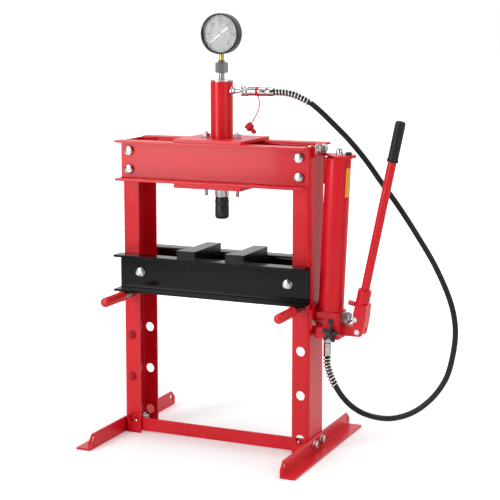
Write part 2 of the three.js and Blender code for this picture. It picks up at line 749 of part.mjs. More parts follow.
const gripLow = 716;
const gripHigh = 811;
const handleTop = 798;
const handleLow = 372;
piece('handle_tube', cut(
  bar(handleAt(handleLow), handleAt(handleTop), handleRadius, 20),
  bar(handleAt(handleLow - 5), handleAt(handleTop + 5), handleRadius - 2, 20),
), redPaint);
const gripFoot = handleAt(gripLow);
const gripLength = (gripHigh - gripLow) / handleDirection.z;
const gripDepth = (handleTop - gripLow) / handleDirection.z;
const gripOuter = 12.4;
piece('handle_grip', turned([
  [handleRadius + gap, 0], [gripOuter + 0.8, 0], [gripOuter + 0.8, 4],
  [gripOuter, 5], [gripOuter, gripLength - 4],
  [gripOuter - 2, gripLength - 1], [gripOuter - 5, gripLength], [0, gripLength], [0, gripDepth + gap],
  [handleRadius + gap, gripDepth + gap], [handleRadius + gap, 0],
], gripFoot, handleDirection, 20), rubber);

// ---------------------------------------------------------------- origin

// Footprint without the hose, whose loop hangs beside the press.
const footprint = new THREE.Box3();
for (const mesh of press.children) {
  if (!['pressure_hose', 'dust_cap'].includes(mesh.name)) footprint.expandByObject(mesh);
}
const centre = footprint.getCenter(new THREE.Vector3());
press.position.set(-centre.x, -centre.y, 0);

export default press;
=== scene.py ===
"""Looks for the hydraulic shop press: camera, hose, paint and metal finishes, and the small detail pieces.

Sizes below are in millimetres and measured from the ram's axis on the floor (at() turns them into the
row frame): X towards the pump, Y towards the back, Z up.
"""

import math

import bmesh
import bpy
from mathutils import Matrix, Vector


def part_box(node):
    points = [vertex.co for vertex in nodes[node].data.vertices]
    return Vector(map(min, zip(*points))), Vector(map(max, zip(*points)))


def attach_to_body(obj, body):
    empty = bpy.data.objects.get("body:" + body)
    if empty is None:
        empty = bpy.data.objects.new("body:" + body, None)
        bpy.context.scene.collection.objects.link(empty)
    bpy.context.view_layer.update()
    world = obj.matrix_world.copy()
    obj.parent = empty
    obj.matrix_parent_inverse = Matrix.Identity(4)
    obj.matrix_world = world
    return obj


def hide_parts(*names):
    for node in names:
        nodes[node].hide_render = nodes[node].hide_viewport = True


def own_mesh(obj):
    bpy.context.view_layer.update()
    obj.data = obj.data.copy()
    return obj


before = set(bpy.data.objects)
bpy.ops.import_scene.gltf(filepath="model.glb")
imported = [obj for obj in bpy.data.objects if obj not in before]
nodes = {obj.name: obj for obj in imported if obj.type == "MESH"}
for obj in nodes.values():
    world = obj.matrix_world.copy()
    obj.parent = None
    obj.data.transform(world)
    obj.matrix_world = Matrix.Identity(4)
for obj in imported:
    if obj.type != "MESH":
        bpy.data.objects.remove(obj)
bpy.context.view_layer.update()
ram_low, ram_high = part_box("ram_cylinder")
ram_x = (ram_low.x + ram_high.x) / 2
X, Y, Z = Vector((1, 0, 0)), Vector((0, 1, 0)), Vector((0, 0, 1))
sides = (("left", -1), ("right", 1))
ends = (("front", -1), ("rear", 1))


def at(x, y, z):
    return Vector((ram_x + x / 1000, y / 1000, z / 1000))


# ------------------------------------------------------------------ camera, light and floor


def make_camera():
    turned_left, tipped_down = math.radians(23.774), math.radians(7.268)
    data = bpy.data.cameras.new("camera")
    data.lens = 100.86
    data.sensor_width = 36
    data.shift_x = -0.0066
    data.shift_y = -0.12
    data.clip_end = 60
    camera = bpy.data.objects.new("camera", data)
    camera.location = at(1445.8, -3091.5, 1062.2)
    camera.rotation_euler = (math.pi / 2 - tipped_down, 0, turned_left)
    bpy.context.scene.collection.objects.link(camera)
    bpy.context.scene.camera = camera


def area_light(name, place, target, size, power):
    data = bpy.data.lights.new(name, "AREA")
    data.shape = "RECTANGLE"
    data.size, data.size_y = size
    data.energy = power
    light = bpy.data.objects.new(name, data)
    light.location = place
    light.rotation_euler = (Vector(target) - Vector(place)).to_track_quat("-Z", "Y").to_euler()
    bpy.context.scene.collection.objects.link(light)


def map_range(tree, value, low, high, to_low=0.0, to_high=1.0):
    """Maps value from low..high to to_low..to_high, held at both ends; gives the result's socket."""
    node = tree.nodes.new("ShaderNodeMapRange")
    node.inputs["From Min"].default_value = low
    node.inputs["From Max"].default_value = high
    node.inputs["To Min"].default_value = to_low
    node.inputs["To Max"].default_value = to_high
    tree.links.new(value, node.inputs["Value"])
    return node.outputs["Result"]


def make_world():
    """The room that lights the press and shows in its gloss is white behind it and dark in front of it.
    The camera itself sees a plain white backdrop."""
    world = bpy.data.worlds.new("studio")
    world.use_nodes = True
    tree = world.node_tree
    direction = tree.nodes.new("ShaderNodeTexCoord")
    split = tree.nodes.new("ShaderNodeSeparateXYZ")
    tree.links.new(direction.outputs["Generated"], split.inputs["Vector"])
    room = tree.nodes["Background"]
    room.inputs["Color"].default_value = (1, 1, 1, 1)
    tree.links.new(map_range(tree, split.outputs["Y"], -0.35, 0.45, 0.08, 0.95), room.inputs["Strength"])
    backdrop = tree.nodes.new("ShaderNodeBackground")
    backdrop.inputs["Color"].default_value = (1, 1, 1, 1)
    backdrop.inputs["Strength"].default_value = 1.0
    rays = tree.nodes.new("ShaderNodeLightPath")
    mix = tree.nodes.new("ShaderNodeMixShader")
    tree.links.new(rays.outputs["Is Camera Ray"], mix.inputs["Fac"])
    tree.links.new(room.outputs["Background"], mix.inputs[1])
    tree.links.new(backdrop.outputs["Background"], mix.inputs[2])
    tree.links.new(mix.outputs["Shader"], tree.nodes["World Output"].inputs["Surface"])
    bpy.context.scene.world = world
    bpy.context.scene.view_settings.view_transform = "Standard"


def make_floor():
    reach, level = 30, -0.0006
    corners = [(-reach, -reach, level), (reach, -reach, level), (reach, reach, level), (-reach, reach, level)]
    mesh = bpy.data.meshes.new("floor")
    mesh.from_pydata(corners, [], [(0, 1, 2, 3)])
    floor = bpy.data.objects.new("floor", mesh)
    floor.data.materials.append(floor_finish())
    bpy.context.scene.collection.objects.link(floor)


def make_studio():
    """A tall softbox front left, a dim panel on the right and a soft top light. Places are in metres."""
    make_world()
    area_light("softbox", place=(-1.15, -2.05, 1.2), target=(0, 0, 0.62), size=(0.75, 1.7), power=35)
    area_light("panel", place=(2.3, -0.9, 1.3), target=(0, 0, 0.5), size=(1.2, 1.6), power=14)
    area_light("top", place=(0.2, -0.1, 3.2), target=(0.1, 0, 0), size=(2.8, 2.2), power=58)
    make_floor()


# ------------------------------------------------------------------ finishes


def floor_finish():
    """White sweep: plain round the press, and pure white to the camera further away, like the backdrop."""
    near, far = 0.5, 2.2  # metres from the row frame's origin
    near_glow, far_glow = 0.10, 1.0
    material = finish("floor", (0.93, 0.93, 0.93), roughness=0.6, specular=0.2)
    tree = material.node_tree
    shader = tree.nodes["Principled BSDF"]
    shader.inputs["Emission Color"].default_value = (1, 1, 1, 1)
    place = tree.nodes.new("ShaderNodeTexCoord")
    away = tree.nodes.new("ShaderNodeVectorMath")
    away.operation = "LENGTH"
    tree.links.new(place.outputs["Object"], away.inputs[0])
    rays = tree.nodes.new("ShaderNodeLightPath")
    seen = tree.nodes.new("ShaderNodeMath")
    seen.operation = "MULTIPLY"
    tree.links.new(map_range(tree, away.outputs["Value"], near, far, near_glow, far_glow), seen.inputs[0])
    tree.links.new(rays.outputs["Is Camera Ray"], seen.inputs[1])
    tree.links.new(seen.outputs["Value"], shader.inputs["Emission Strength"])
    return material


def finish(name, color, second=None, metallic=0.0, roughness=0.4, spread=0.0, scale=60.0, bump=0.0,
           bump_scale=400.0, coat=0.0, specular=0.5, stretch=(1, 1, 1), clear=False, wear=None):
    """A Principled finish with mottled colour, uneven roughness and a fine bump, all in object space.

    second is the mottle's other colour, spread how far the roughness varies, stretch the grain's scale in
    each direction and wear the colour of small scuffs. A clear finish is a thin, almost unseen film.
    """
    material = bpy.data.materials.new(name)
    material.use_nodes = True
    tree = material.node_tree
    shader = tree.nodes["Principled BSDF"]
    shader.inputs["Metallic"].default_value = metallic
    shader.inputs["Specular IOR Level"].default_value = specular
    shader.inputs["Roughness"].default_value = roughness
    shader.inputs["Base Color"].default_value = (*color, 1)
    if coat:
        shader.inputs["Coat Weight"].default_value = coat
        shader.inputs["Coat Roughness"].default_value = 0.06
    if clear:
        shader.inputs["Alpha"].default_value = 0.06
        return material
    place = tree.nodes.new("ShaderNodeTexCoord")
    mapping = tree.nodes.new("ShaderNodeMapping")
    mapping.inputs["Scale"].default_value = stretch
    tree.links.new(place.outputs["Object"], mapping.inputs["Vector"])
    mottle = tree.nodes.new("ShaderNodeTexNoise")
    mottle.inputs["Scale"].default_value = scale
    mottle.inputs["Detail"].default_value = 4
    tree.links.new(mapping.outputs["Vector"], mottle.inputs["Vector"])
    if second is not None:
        ramp = tree.nodes.new("ShaderNodeValToRGB")
        ramp.color_ramp.elements[0].position = 0.35
        ramp.color_ramp.elements[0].color = (*color, 1)
        ramp.color_ramp.elements[1].position = 0.68
        ramp.color_ramp.elements[1].color = (*second, 1)
        tree.links.new(mottle.outputs["Fac"], ramp.inputs["Fac"])
        source = ramp.outputs["Color"]
        if wear is not None:
            source = worn(tree, source, wear)
        tree.links.new(source, shader.inputs["Base Color"])
    if spread:
        uneven = map_range(tree, mottle.outputs["Fac"], 0.3, 0.7, roughness - spread, roughness + spread)
        tree.links.new(uneven, shader.inputs["Roughness"])
    if bump:
        grain = tree.nodes.new("ShaderNodeTexNoise")
        grain.inputs["Scale"].default_value = bump_scale
        grain.inputs["Detail"].default_value = 3
        tree.links.new(mapping.outputs["Vector"], grain.inputs["Vector"])
        height = tree.nodes.new("ShaderNodeBump")
        height.inputs["Strength"].default_value = bump
        height.inputs["Distance"].default_value = 0.0008
        tree.links.new(grain.outputs["Fac"], height.inputs["Height"])
        tree.links.new(height.outputs["Normal"], shader.inputs["Normal"])
    return material


def worn(tree, source, color):
    """Mixes a second colour in where a sparse noise peaks: small scuffs."""
    scuff = tree.nodes.new("ShaderNodeTexNoise")
    scuff.inputs["Scale"].default_value = 170
    scuff.inputs["Detail"].default_value = 6
    mix = tree.nodes.new("ShaderNodeMix")
    mix.data_type = "RGBA"
    mix.inputs["B"].default_value = (*color, 1)
    tree.links.new(map_range(tree, scuff.outputs["Fac"], 0.70, 0.74), mix.inputs["Factor"])
    tree.links.new(source, mix.inputs["A"])
    return mix.outputs["Result"]


red = finish("red_paint", (0.60, 0.004, 0.012), (0.66, 0.008, 0.018), roughness=0.30, spread=0.05, scale=9,
             bump=0.06, bump_scale=260, coat=0.10, specular=0.25)
black = finish("black_paint", (0.003, 0.003, 0.003), (0.005, 0.005, 0.0048), roughness=0.13, spread=0.03,
               scale=12, bump=0.015, bump_scale=300, specular=0.16)
zinc = finish("zinc", (0.66, 0.66, 0.65), (0.54, 0.54, 0.54), metallic=1, roughness=0.24, spread=0.05,
              scale=60, bump=0.02, bump_scale=900)
chrome = finish("chrome", (0.86, 0.87, 0.88), (0.80, 0.81, 0.82), metallic=1, roughness=0.10, spread=0.03,
                scale=90, bump=0.03, bump_scale=900)
turned_steel = finish("turned_steel", (0.30, 0.30, 0.30), (0.22, 0.22, 0.22), metallic=1, roughness=0.28,
                      spread=0.08, scale=40, bump=0.15, bump_scale=500, stretch=(1, 1, 14))
grey_steel = finish("grey_steel", (0.36, 0.37, 0.36), (0.27, 0.28, 0.27), metallic=1, roughness=0.34,
                    spread=0.06, scale=120, bump=0.06, bump_scale=700)
fitting_steel = finish("fitting_steel", (0.50, 0.50, 0.51), (0.42, 0.42, 0.43), metallic=1, roughness=0.22,
                       spread=0.05, scale=90, bump=0.02, bump_scale=800)
guard_steel = finish("guard_steel", (0.80, 0.80, 0.80), (0.70, 0.70, 0.70), metallic=1, roughness=0.2,
                     spread=0.05, scale=200, bump=0.03, bump_scale=900)
brass = finish("brass", (0.60, 0.43, 0.17), (0.45, 0.31, 0.12), metallic=1, roughness=0.26, spread=0.08,
               scale=150, bump=0.05)
blackened = finish("blackened_steel", (0.012, 0.012, 0.012), (0.024, 0.023, 0.023), metallic=0.3,
                   roughness=0.38, spread=0.08, scale=120, bump=0.10, bump_scale=700)
cast = finish("cast_iron", (0.004, 0.004, 0.004), (0.009, 0.009, 0.009), roughness=0.20, spread=0.05,
              scale=60, bump=0.10, bump_scale=520, specular=0.28, wear=(0.04, 0.04, 0.04))
vinyl = finish("red_vinyl", (0.60, 0.006, 0.012), (0.52, 0.004, 0.010), roughness=0.42, spread=0.06, scale=50,
               bump=0.10, bump_scale=350)
hose_rubber = finish("hose_rubber", (0.006, 0.006, 0.006), (0.011, 0.0105, 0.010), roughness=0.38,
                     spread=0.08, scale=160, bump=0.15, bump_scale=900, specular=0.3)
grip_rubber = finish("grip_rubber", (0.006, 0.0057, 0.0054), (0.011, 0.0105, 0.010), roughness=0.48,
                     spread=0.08, scale=110, bump=0.22, bump_scale=700, specular=0.35)
knob_plastic = finish("knob_plastic", (0.005, 0.005, 0.005), (0.009, 0.009, 0.009), roughness=0.35,
                      spread=0.06, scale=120, bump=0.20, bump_scale=900)
dial_paint = finish("dial_paint", (0.52, 0.53, 0.53), (0.48, 0.49, 0.49), roughness=0.5, spread=0.05,
                    scale=40, bump=0.02)
mark_paint = finish("mark_paint", (0.09, 0.09, 0.10), (0.12, 0.12, 0.13), roughness=0.5, spread=0.03,
                    scale=200)
pointer_paint = finish("pointer_paint", (0.95, 0.95, 0.95), (0.90, 0.90, 0.90), roughness=0.35, spread=0.03,
                       scale=80)
label_paint = finish("label_film", (0.86, 0.40, 0.03), (0.80, 0.34, 0.02), roughness=0.3, spread=0.04,
                     scale=70, coat=0.3)
lens_clear = finish("gauge_lens", (0.3, 0.3, 0.3), roughness=0.04, coat=1.0, clear=True)

make_camera()
make_studio()

# ------------------------------------------------------------------ mesh building


def sharpen(target, width, segments=2, angle=38):
    """Rounds a piece's sharp edges and keeps its flats flat."""
    weld = target.modifiers.new("weld", "WELD")
    weld.merge_threshold = 0.00002
    bevel = target.modifiers.new("bevel", "BEVEL")
    bevel.width = width / 1000
    bevel.segments = segments
    bevel.limit_method = "ANGLE"
    bevel.angle_limit = math.radians(angle)
    split = target.modifiers.new("split", "EDGE_SPLIT")
    split.split_angle = math.radians(angle + 4)
    weighted = target.modifiers.new("weighted", "WEIGHTED_NORMAL")
    weighted.keep_sharp = True


def dress(name, material, bevel):
    """Gives a CAD node its finish and rounded edges; bevel is in millimetres."""
    target = nodes[name]
    mesh = target.data
    mesh.materials.clear()
    mesh.materials.append(material)
    if "custom_normal" in mesh.attributes:
        mesh.attributes.remove(mesh.attributes["custom_normal"])
    for polygon in mesh.polygons:
        polygon.use_smooth = True
    sharpen(target, bevel)


def attach(made, body, replaces):
    """Puts a piece on its body and hides the nodes it stands for."""
    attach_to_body(made, body)
    if replaces:
        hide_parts(*replaces)


def piece(name, bm, material, body, replaces=(), slot=None, bevel=0.0, smooth=True):
    """Makes a visible piece from a bmesh; bevel is in millimetres."""
    bmesh.ops.recalc_face_normals(bm, faces=bm.faces)
    mesh = bpy.data.meshes.new(name)
    bm.to_mesh(mesh)
    bm.free()
    for polygon in mesh.polygons:
        polygon.use_smooth = smooth
    made = bpy.data.objects.new(name, mesh)
    bpy.context.scene.collection.objects.link(made)
    mesh.materials.append(material)
    if bevel:
        sharpen(made, bevel)
    elif smooth:
        split = made.modifiers.new("split", "EDGE_SPLIT")
        split.split_angle = math.radians(35)
    attach(made, body, replaces)
    return made


def basis(axis):
    """Two directions square to an axis."""
    axis = Vector(axis).normalized()
    side = axis.cross(Z) if abs(axis.z) < 0.9 else axis.cross(X)
    side.normalize()
    return axis, side, axis.cross(side)


def ring_points(centre, side, other, radius_at, count):
    points = []
    for i in range(count):
        angle = 2 * math.pi * i / count
        r = radius_at(angle) / 1000
        points.append(centre + side * math.cos(angle) * r + other * math.sin(angle) * r)
    return points


def loft(bm, rings, closed=False):
    """Joins rings of equal count into a skin; the ends are capped unless closed on itself."""
    made = [[bm.verts.new(p) for p in ring] for ring in rings]
    count = len(made[0])
    pairs = list(zip(made, made[1:]))
    if closed:
        pairs.append((made[-1], made[0]))
    for low, high in pairs:
        for i in range(count):
            j = (i + 1) % count
            bm.faces.new((low[i], low[j], high[j], high[i]))
    if not closed:
        bm.faces.new(list(reversed(made[0])))
        bm.faces.new(made[-1])


def add_turned(bm, profile, base, axis, sides=48, flutes=0, depth=0.0, hollow=False):
    """Adds a turned solid.

    profile is [(radius, distance along axis), ...]; flutes cut its full-radius stations.
    """
    axis, side, other = basis(axis)
    widest = max(r for r, _ in profile)
    rings = []
    for radius, distance in profile:
        def radius_at(angle, radius=radius):
            if flutes and radius > widest - depth * 1.5:
                return radius - depth * (0.5 + 0.5 * math.cos(flutes * angle))
            return max(radius, 0.02)
        rings.append(ring_points(base + axis * distance / 1000, side, other, radius_at, sides))
    loft(bm, rings, closed=hollow)


def turned(name, profile, base, axis, material, body, sides=48, flutes=0, depth=0.0, hollow=False, **options):
    bm = bmesh.new()
    add_turned(bm, profile, base, axis, sides, flutes, depth, hollow)
    return piece(name, bm, material, body, **options)


def add_hexagon(bm, base, axis, flats, height, turn=0.0, both=False):
    """Adds a hexagon head or nut with chamfered corners, standing on base."""
    axis, side, other = basis(axis)
    flat = flats / 2
    crown = flat * 0.93

    def hexagon(angle):
        return flat / math.cos((angle + turn) % (math.pi / 3) - math.pi / 6)

    def ring(height_at, radius_at):
        points = []
        for i in range(48):
            angle = 2 * math.pi * i / 48
            r = radius_at(angle)
            points.append(base + axis * height_at(r) / 1000
                          + (side * math.cos(angle) + other * math.sin(angle)) * r / 1000)
        return points

    drop = 0.55
    rings = []
    if both:
        rings.append(ring(lambda r: 0.0, lambda a: crown))
        rings.append(ring(lambda r: (r - crown) * drop, hexagon))
    else:
        rings.append(ring(lambda r: 0.0, hexagon))
    rings.append(ring(lambda r: height - (r - crown) * drop, hexagon))
    rings.append(ring(lambda r: height, lambda a: crown))
    loft(bm, rings)


def thread_profile(radius, start, end, pitch=1.5):
    profile = [(0, start), (radius * 0.86, start)]
    turns = max(2, int((end - start) / pitch))
    for i in range(turns):
        z = start + (end - start) * i / turns
        profile += [(radius * 0.88, z + 0.02), (radius, z + pitch * 0.45), (radius, z + pitch * 0.55)]
    profile += [(radius * 0.84, end), (0, end + 0.05)]
    return profile


def add_washer(bm, base, axis, hole, outside, thickness):
    add_turned(bm, [
        (hole, 0), (outside - 0.4, 0), (outside, 0.4),
        (outside, thickness - 0.5), (outside - 0.5, thickness), (hole, thickness),
    ], base, axis, 40, hollow=True)


def bolt(name, start, direction, grip, size, body, turn=0.0, washer=1.9):
    """A bolt whose head rests at start, with washers, a nut past the grip and its threaded end.

    size is the thread's radius, the width over the flats, the heights of head and nut, and the thread's
    length past the nut.
    """
    radius, flats, head, nut, tail = size
    direction = Vector(direction).normalized()
    bm = bmesh.new()
    outside = flats * 0.5 + 2.2
    face = start - direction * 0.0002
    if washer:
        add_washer(bm, face, -direction, radius, outside, washer)
    add_hexagon(bm, face - direction * washer / 1000, -direction, flats, head, turn)
    add_turned(bm, [(0, -1), (radius - 0.2, -1), (radius - 0.2, grip + 1), (0, grip + 1)], start, direction,
               20)
    foot = start + direction * (grip + 0.3) / 1000
    if washer:
        add_washer(bm, foot, direction, radius, outside, washer)
    add_hexagon(bm, foot + direction * washer / 1000, direction, flats, nut, turn, both=True)
    add_turned(bm, thread_profile(radius - 0.2, 0, nut + tail + washer), foot, direction, 24)
    return piece(name, bm, zinc, body, replaces=(name.replace("_looks", ""),), slot="zinc")


def add_prism(bm, outline, origin, u, v, depth):
    """Adds an outline in the plane of u and v, extruded along u x v; all in millimetres from origin."""
    w = Vector(u).cross(Vector(v)).normalized()
    low = [origin + (Vector(u) * a + Vector(v) * b) / 1000 for a, b in outline]
    high = [p + w * depth / 1000 for p in low]
    loft(bm, [low, high])


def smooth_route(points, steps):
    """A centripetal Catmull-Rom curve through the points."""
    points = [Vector(p) for p in points]
    route = []
    for i in range(len(points) - 1):
        p1, p2 = points[i], points[i + 1]
        p0 = points[i - 1] if i else p1 * 2 - p2
        p3 = points[i + 2] if i + 2 < len(points) else p2 * 2 - p1
        d0, d1, d2 = (max((b - a).length ** 0.5, 1e-9) for a, b in ((p0, p1), (p1, p2), (p2, p3)))
        m1 = ((p1 - p0) / d0 - (p2 - p0) / (d0 + d1) + (p2 - p1) / d1) * d1
        m2 = ((p2 - p1) / d1 - (p3 - p1) / (d1 + d2) + (p3 - p2) / d2) * d1
        for k in range(steps):
            t = k / steps
            route.append(p1 * (2 * t**3 - 3 * t**2 + 1) + m1 * (t**3 - 2 * t**2 + t)
                         + p2 * (3 * t**2 - 2 * t**3) + m2 * (t**3 - t**2))
    route.append(points[-1])
    return route


def wire(name, route, diameter, material, body, cyclic=False, replaces=()):
    """A round wire along a route, with its diameter in millimetres."""
    curve = bpy.data.curves.new(name, "CURVE")
    curve.dimensions = "3D"
    curve.bevel_depth = diameter / 2000
    curve.bevel_resolution = 5
    curve.use_fill_caps = True
    spline = curve.splines.new("POLY")
    spline.points.add(len(route) - 1)
    for target, place in zip(spline.points, route):
        target.co = (*place, 1)
    spline.use_cyclic_u = cyclic
    made = bpy.data.objects.new(name, curve)
    curve.materials.append(material)
    bpy.context.scene.collection.objects.link(made)
    attach(made, body, replaces)
    return made


def helix_round(route, radius, pitch, length, steps=14):
    """A coil wound round the start of a route, at a radius and pitch in millimetres."""
    total, lengths = 0.0, [0.0]
    for a, b in zip(route, route[1:]):
        total += (b - a).length * 1000
        lengths.append(total)
    count = int(length / pitch * steps)
    coil = []
    _, side, _ = basis(route[1] - route[0])
    index = 0
    for k in range(count + 1):
        distance = length * k / count
        while index < len(lengths) - 2 and lengths[index + 1] < distance:
            index += 1
        share = (distance - lengths[index]) / max(lengths[index + 1] - lengths[index], 1e-9)
        centre = route[index].lerp(route[index + 1], share)
        tangent = (route[index + 1] - route[index]).normalized()
        side = (side - tangent * side.dot(tangent)).normalized()
        other = tangent.cross(side)
        angle = 2 * math.pi * k / steps
        coil.append(centre + (side * math.cos(angle) + other * math.sin(angle)) * radius / 1000)
    return coil


# ------------------------------------------------------------------ pressure hose

port_height = 871
hose_diameter = 13.5
lower_end_x = 279
guard_radius, guard_pitch, guard_wire = 8.5, 8.2, 3.4
route_points = [
    (138, 0, port_height), (148, 0, port_height), (162, 0, 870.6), (185, 0, 867.5), (208, 1, 859),
    (232, 3, 846), (257, 6, 826), (290, 13, 794), (325, 21, 758), (362, 31, 712), (397, 39, 662),
    (441, 46, 602), (483, 50, 540), (529, 52, 467), (565, 52, 391), (578, 50, 345), (581, 49, 297),
    (566, 46, 213), (546, 43, 173), (521, 40, 142), (490, 37, 116), (458, 33, 100), (424, 29, 92),
    (389, 24, 94), (360, 18, 103), (334, 12, 120), (313, 7, 143), (297, 3, 170), (285, 1, 197),
    (lower_end_x, 0, 220), (lower_end_x, 0, 230), (lower_end_x, 0, 239.7),
]
hose_route = smooth_route([at(*p) for p in route_points], 8)
hose = wire("hose_looks", hose_route, hose_diameter, hose_rubber, "frame", replaces=("pressure_hose",))
guard_top = wire("spring_guard_top", helix_round(hose_route, guard_radius, guard_pitch, 98), guard_wire,
                 guard_steel, "frame")
guard_bottom = wire("spring_guard_bottom", helix_round(hose_route[::-1], guard_radius, guard_pitch, 78),
                    guard_wire, guard_steel, "frame")

# ------------------------------------------------------------------ painted frame

painted = [
    "left_post", "right_post", "front_head_beam", "rear_head_beam", "left_foot", "right_foot", "lower_brace",
    "upper_mount_plate", "lower_mount_plate", "pump_base", "pump_top_bracket", "handle_socket",
]
for name in painted:
    dress(name, red, 0.9)
for name in ("ram_cylinder", "reservoir", "handle_tube"):
    dress(name, red, 0.5)
for name in ("bed_front_channel", "bed_rear_channel"):
    dress(name, black, 0.9)
dress("gauge_case", blackened, 0.6)
dress("piston_rod", chrome, 0.4)
dress("cylinder_cap", zinc, 0.4)
dress("gauge_socket", brass, 0.4)
dress("coupler_nipple", fitting_steel, 0.3)
dress("plunger", chrome, 0.5)

# ------------------------------------------------------------------ bolts

# bolt sizes, in the order that bolt() takes them
beam_bolt = (7, 21, 8, 11, 3)
bed_bolt = (6, 19, 7, 9, 3)
foot_bolt = (6, 19, 7, 9, 12)
lug_bolt = (4, 13, 5, 5, 1)
bracket_bolt = (6, 19, 7, 6, 1)
brace_tab = 5.3
for side, sign in sides:
    for level, z in (("lower", 675), ("upper", 721)):
        bolt(f"head_bolt_{side}_{level}_looks", at(sign * 227, -55.3, z), Y, 110.6, beam_bolt, "frame",
             turn=0.3 * sign + z, washer=0)
    bolt(f"bed_bolt_{side}_looks", at(sign * 198, -56.5, 417.6), Y, 113, bed_bolt, "bed",
         turn=0.5 * sign, washer=1.2)
    for end, way in ends:
        grip = 10.3 + (brace_tab if way < 0 else 0)
        bolt(f"foot_bolt_{side}_{end}_looks", at(sign * 255.3, way * 24, 21.5), (-sign, 0, 0), grip,
             foot_bolt, "frame", turn=0.7 * way)
for end, way in ends:
    bolt(f"pump_lug_bolt_{end}_looks", at(256.3, way * 34, 326), (-1, 0, 0), 11.3, lug_bolt, "frame",
         washer=1.2)
    bolt(f"pump_bracket_bolt_{end}_looks", at(256.3, way * 22, 738), (-1, 0, 0), 11.3, bracket_bolt, "frame",
         turn=way)

for side, sign in sides:
    x = sign * 42
    bm = bmesh.new()
    add_turned(bm, thread_profile(4.8, 0, 159), at(x, 0, 612), Z, 24)
    add_turned(bm, [(5, 0), (10.4, 0), (10.8, 0.4), (10.8, 1.4), (10.4, 1.8), (5, 1.8)], at(x, 0, 756.6), Z,
               36, hollow=True)
    add_hexagon(bm, at(x, 0, 758.4), Z, 17, 7.5, turn=0.4 * sign, both=True)
    add_hexagon(bm, at(x, 0, 637.1), -Z, 17, 8, turn=0.2, both=True)
    piece(f"plate_stud_{side}_looks", bm, zinc, "frame", replaces=(f"plate_stud_{side}",), slot="zinc")

# ------------------------------------------------------------------ support pins and their grips

pin_x, pin_height = 228, 361.3
for side, sign in sides:
    x = sign * pin_x
    body = f"pin_{side}"
    turned(f"support_pin_{side}_looks", [(0, 0), (8.5, 0), (10, 1.5), (10, 162), (8, 165), (0, 165)],
           at(x, -101, pin_height), Y, grey_steel, body, replaces=(f"support_pin_{side}",), slot="zinc")
    turned(f"pin_grip_{side}", [
        (0, 0), (5, 0.2), (9, 1.6), (11.2, 4), (11.9, 7), (11.9, 84), (12.9, 86.5), (13.1, 90), (12.4, 92),
        (10.2, 92.4), (10.2, 60), (0, 60),
    ], at(x, -190, pin_height), Y, vinyl, body, sides=40, slot="red_paint")

# ------------------------------------------------------------------ ram

turned("pressing_head_looks", [
    (0, 0), (13.2, 0), (14.2, 1), (15.4, 2.4), (16.9, 4.2), (17.3, 5), (17.3, 32), (16.4, 33), (16.4, 35),
    (17.3, 36), (17.3, 46), (16.2, 48), (16.2, 54.4), (0, 54.4),
], at(0, 0, 557), Z, blackened, "ram", sides=144, flutes=48, depth=0.5, replaces=("pressing_head",),
   slot="black_steel")
turned("gland_face", [(17.8, 0), (24.5, 0), (25.2, 0.8), (25.2, 1.9), (17.8, 1.9)], at(0, 0, 629.6), Z, zinc,
       "frame", hollow=True, slot="zinc")
turned("port_boss", [(8.4, 0), (11, 0), (11, 1.5), (10.2, 2.4), (8.4, 2.4)], at(27.0, 0, port_height), X,
       zinc, "frame", sides=36, hollow=True, slot="zinc")


def coil_mesh(radius, wire_radius, bottom, top, turns):
    bm = bmesh.new()
    rings = []
    steps = turns * 24
    for k in range(steps + 1):
        angle = 2 * math.pi * k / 24
        outward = X * math.cos(angle) + Y * math.sin(angle)
        centre = at(0, 0, bottom + (top - bottom) * k / steps) + outward * radius / 1000
        rings.append([centre + (outward * math.cos(a) + Z * math.sin(a)) * wire_radius / 1000
                      for a in (2 * math.pi * i / 8 for i in range(8))])
    loft(bm, rings)
    return bm


spring = piece("return_spring_looks", coil_mesh(20.1, 1.6, 654.5, 836, 9), blackened, "frame",
               replaces=("return_spring",), slot="black_steel")
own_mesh(spring)

# ------------------------------------------------------------------ gauge

bm = bmesh.new()
add_turned(bm, [(0, 0), (6.6, 0), (7.2, 0.6), (7.2, 16), (0, 16)], at(0, 0, 898.1), Z, 40)
add_hexagon(bm, at(0, 0, 914), Z, 28, 26, turn=0.25, both=True)
piece("gauge_adapter_looks", bm, grey_steel, "frame", replaces=("gauge_adapter",), slot="chrome")

middle = at(0, 0, 1008.5)
dial_face = middle + Y * -0.0052
turned("gauge_bezel", [
    (45.6, 0.3), (46.0, -1.0), (47.0, -1.7), (48.4, -1.4), (49.3, -0.2), (49.5, 1.8), (49.3, 3.6),
    (49.1, 4.6), (49.1, 6), (45.6, 6),
], middle + Y * -0.0135, Y, blackened, "frame", sides=96, hollow=True, slot="black_paint")
turned("gauge_lens", [(0, 0), (45.5, 0), (45.5, 1.6), (0, 1.6)], middle + Y * -0.0125, Y, lens_clear, "frame",
       sides=72)
turned("gauge_dial_looks", [(0, 0), (45.0, 0), (45.2, 0.4), (45.2, 1.2), (0, 1.2)], middle + Y * -0.005, Y,
       dial_paint, "frame", sides=72, replaces=("gauge_dial",), slot="dial_white")


def dial_mark(bm, angle, inner, outer, width):
    """A radial bar on the dial's face; angle is clockwise from straight up, seen from the front."""
    way = X * math.sin(angle) + Z * math.cos(angle)
    across = X * math.cos(angle) - Z * math.sin(angle)
    corners = [dial_face + (way * r + across * w) / 1000 for r, w in
               ((inner, -width / 2), (outer, -width / 2), (outer, width / 2), (inner, width / 2))]
    loft(bm, [corners, [c + Y * 0.0002 for c in corners]])


